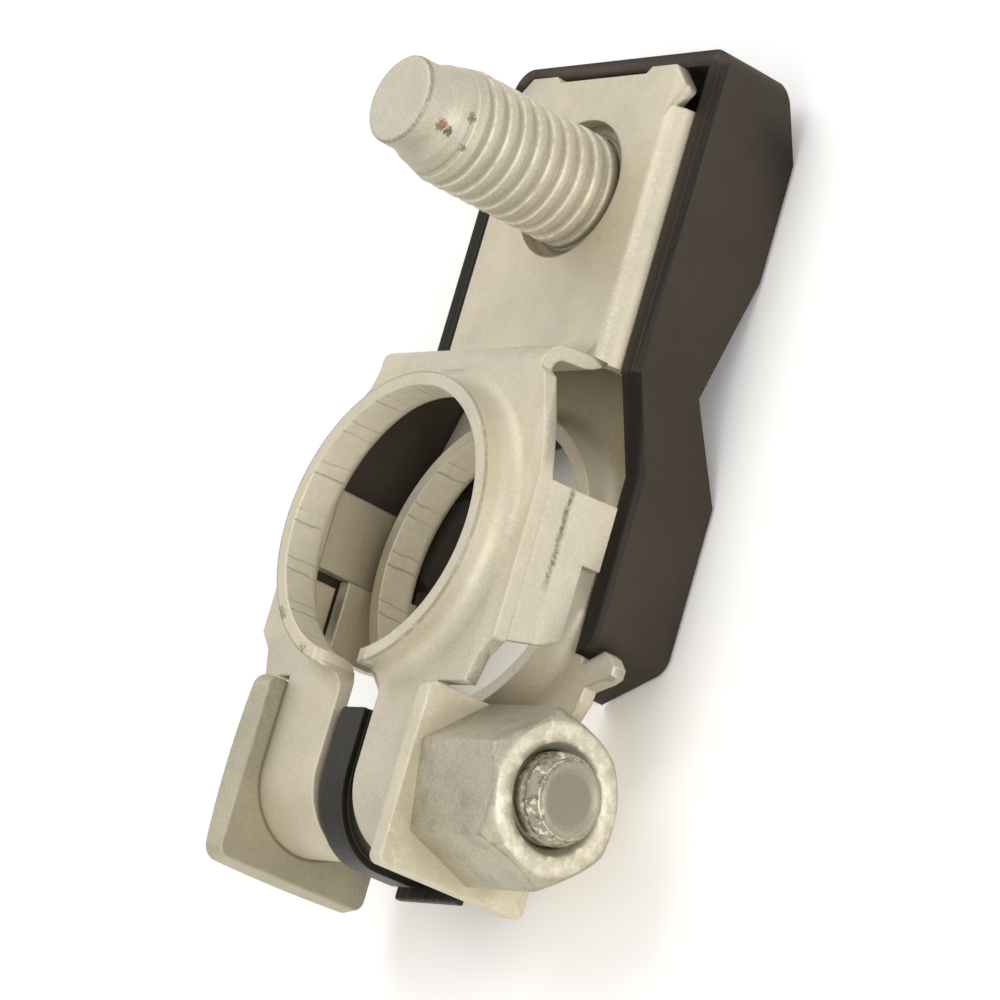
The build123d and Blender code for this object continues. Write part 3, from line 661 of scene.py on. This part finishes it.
def onLeftOutline(co):
    fromHole = math.hypot(co.y - boltAxis.y, co.z - boltAxis.z) - spacer["hole"]
    return co.x < spacer["left"] + 0.01 and fromHole > 0.3


def makeSpacer():
    bm = spacerBand(spacer["left"], spacer["step"], 0.0)
    roundEdges(bm, spacer["round"], spacer["roundSteps"], onLeftOutline)
    joinInto(bm, spacerBand(spacer["step"] - spacer["overlap"], spacer["right"], spacer["recess"]))
    foot = bmesh.new()
    low, high = Vector(spacer["footLow"]), Vector(spacer["footHigh"])
    bmesh.ops.create_cube(foot, size=1.0)
    bmesh.ops.scale(foot, vec=high - low, verts=foot.verts)
    bmesh.ops.translate(foot, vec=(low + high) / 2, verts=foot.verts)
    roundEdges(foot, spacer["footRound"], 3)
    joinInto(bm, foot)
    bmesh.ops.scale(bm, vec=(mm, mm, mm), verts=bm.verts)
    return bm


keep(makeSpacer(), "earSpacer", "body", "ear_spacer",
     mouldedFinish("spacer moulding", spacer["look"], ridges))

# studio; places in metres, but the camera's in millimetres
studio = {"floorSize": 3.0, "floorGap": 0.0002, "floorColor": (0.80, 0.79, 0.77, 1.0),
          "floorSeen": (1.7, 1.7, 1.7, 1.0), "skyColor": (1.0, 0.985, 0.96, 1.0), "skyLevel": 0.45,
          "skySeen": (1.0, 1.0, 1.0, 1.0),
          "lamps": {"keyLamp": {"at": (-0.25, 0.45, 0.72), "size": 0.7, "watts": 1.6},
                    "frontLamp": {"at": (0.92, -0.12, 0.24), "size": 0.6, "watts": 3.2},
                    "lowLamp": {"at": (0.15, -0.80, 0.35), "size": 0.8, "watts": 0.7}},
          "cameraAt": (288.03, -78.44, 211.60), "cameraTurn": (31.6465010, 47.4676768, 23.8425736),
          "lens": 203.85, "sensor": 36.0, "clip": (0.01, 10.0)}


def litAndSeen(tree, kind, lit, seen, outlet):
    # lit sets the shader that lights the part, seen the one that the camera and the metal see
    tree.nodes.clear()
    nodes = Nodes(tree)
    camera = nodes.add("ShaderNodeLightPath", {}, {}, "Is Camera Ray")
    glossy = nodes.add("ShaderNodeLightPath", {}, {}, "Is Glossy Ray")
    either = nodes.add("ShaderNodeMath", {"operation": "MAXIMUM"}, {0: camera, 1: glossy})
    shaders = {0: either, 1: nodes.add(kind, {}, lit), 2: nodes.add(kind, {}, seen)}
    nodes.add(outlet, {}, {"Surface": nodes.add("ShaderNodeMixShader", {}, shaders)})


def makeFloor():
    bm = bmesh.new()
    bmesh.ops.create_grid(bm, x_segments=2, y_segments=2, size=studio["floorSize"] / 2)
    bmesh.ops.translate(bm, vec=(0, 0, cadBox[0].z - studio["floorGap"]), verts=bm.verts)
    mesh = bpy.data.meshes.new("studioFloor")
    bm.to_mesh(mesh)
    bm.free()
    pale = bpy.data.materials.new("pale floor")
    pale.use_nodes = True
    lit, seen = {"Color": studio["floorColor"]}, {"Color": studio["floorSeen"]}
    litAndSeen(pale.node_tree, "ShaderNodeBsdfDiffuse", lit, seen, "ShaderNodeOutputMaterial")
    mesh.materials.append(pale)
    floor = bpy.data.objects.new("studioFloor", mesh)
    bpy.context.scene.collection.objects.link(floor)


def makeSky():
    sky = bpy.data.worlds.new("studio sky")
    sky.use_nodes = True
    lit = {"Color": studio["skyColor"], "Strength": studio["skyLevel"]}
    seen = {"Color": studio["skySeen"], "Strength": 1.0}
    litAndSeen(sky.node_tree, "ShaderNodeBackground", lit, seen, "ShaderNodeOutputWorld")
    bpy.context.scene.world = sky


def makeLamps():
    for name, spec in studio["lamps"].items():
        lamp = bpy.data.lights.new(name, "AREA")
        lamp.shape, lamp.size, lamp.energy = "DISK", spec["size"], spec["watts"]
        holder = bpy.data.objects.new(name, lamp)
        holder.location = spec["at"]
        holder.rotation_euler = (-Vector(spec["at"])).to_track_quat("-Z", "Y").to_euler()
        bpy.context.scene.collection.objects.link(holder)


def makeCamera():
    lens = bpy.data.cameras.new("viewCamera")
    lens.sensor_width, lens.lens = studio["sensor"], studio["lens"]
    lens.clip_start, lens.clip_end = studio["clip"]
    camera = bpy.data.objects.new("viewCamera", lens)
    camera.location = Vector(studio["cameraAt"]) * mm
    camera.rotation_euler = [math.radians(degrees) for degrees in studio["cameraTurn"]]
    bpy.context.scene.collection.objects.link(camera)
    bpy.context.scene.camera = camera
    bpy.context.scene.view_settings.view_transform = "Standard"


makeFloor()
makeSky()
makeLamps()
makeCamera()
print("studio ready")
